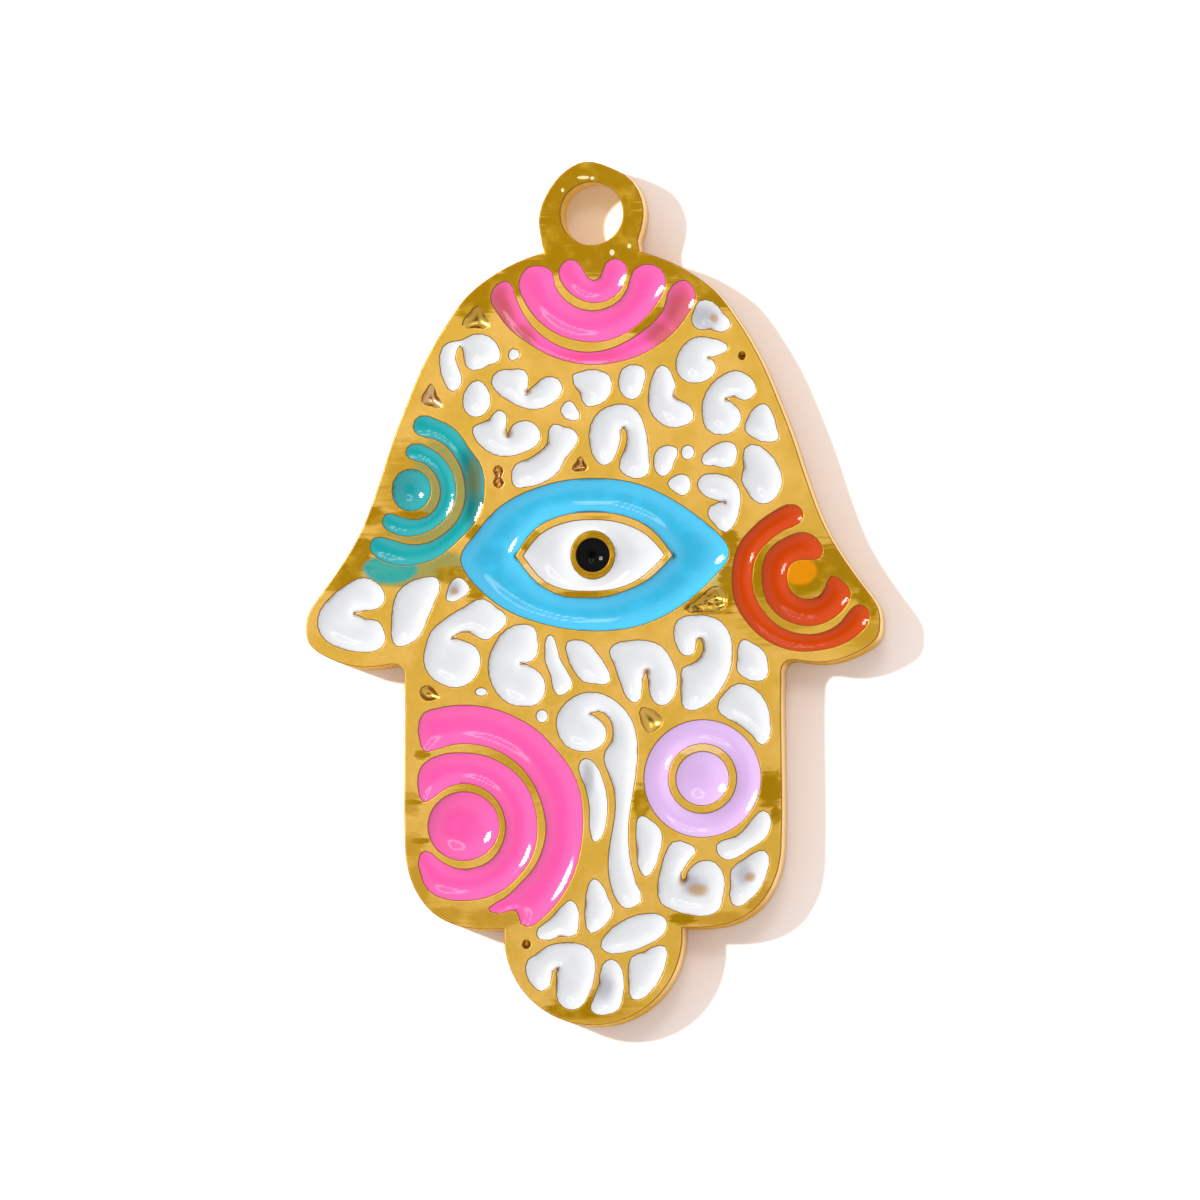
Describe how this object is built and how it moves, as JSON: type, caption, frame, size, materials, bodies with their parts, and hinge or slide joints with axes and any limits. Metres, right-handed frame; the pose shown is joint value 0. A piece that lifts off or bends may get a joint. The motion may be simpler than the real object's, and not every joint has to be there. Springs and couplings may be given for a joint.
{
  "type": "hamsa pendant",
  "caption": "Flat hand-shaped hamsa pendant in gold-coloured metal, with a hanging ring and pockets of coloured enamel round an eye.",
  "frame": {"origin": "on the flat back, at the middle of the pendant's width and of its height with the ring", "axes": "+X towards the right finger in the picture, +Y from the foot towards the hanging ring, +Z out of the enamelled face; the pendant lies on its back on the surface z = 0"},
  "size_m": [0.02, 0.0298, 0.0016],
  "materials": {
    "gold_plated_metal": "satin gold plating, tarnished olive in places",
    "pink_enamel": "glossy soft enamel",
    "teal_enamel": "glossy soft enamel",
    "orange_enamel": "glossy soft enamel",
    "blue_enamel": "glossy soft enamel",
    "lilac_enamel": "glossy soft enamel",
    "white_enamel": "glossy soft enamel",
    "black_enamel": "glossy soft enamel"
  },
  "bodies": {
    "root": {"hamsa_plate": "gold_plated_metal", "crown_arc_outer": "pink_enamel", "crown_arc_middle": "pink_enamel", "crown_arc_inner": "pink_enamel", "teal_arc_outer": "teal_enamel", "teal_arc_inner": "teal_enamel", "teal_dot": "teal_enamel", "orange_arc_outer": "orange_enamel", "orange_arc_inner": "orange_enamel", "eye_blue": "blue_enamel", "eye_white": "white_enamel", "eye_pupil": "black_enamel", "pink_arc_outer": "pink_enamel", "pink_arc_inner": "pink_enamel", "pink_dot": "pink_enamel", "lilac_ring": "lilac_enamel", "lilac_dot": "lilac_enamel", "white_cells_above": "white_enamel", "white_cells_below": "white_enamel"}
  },
  "joints": []
}
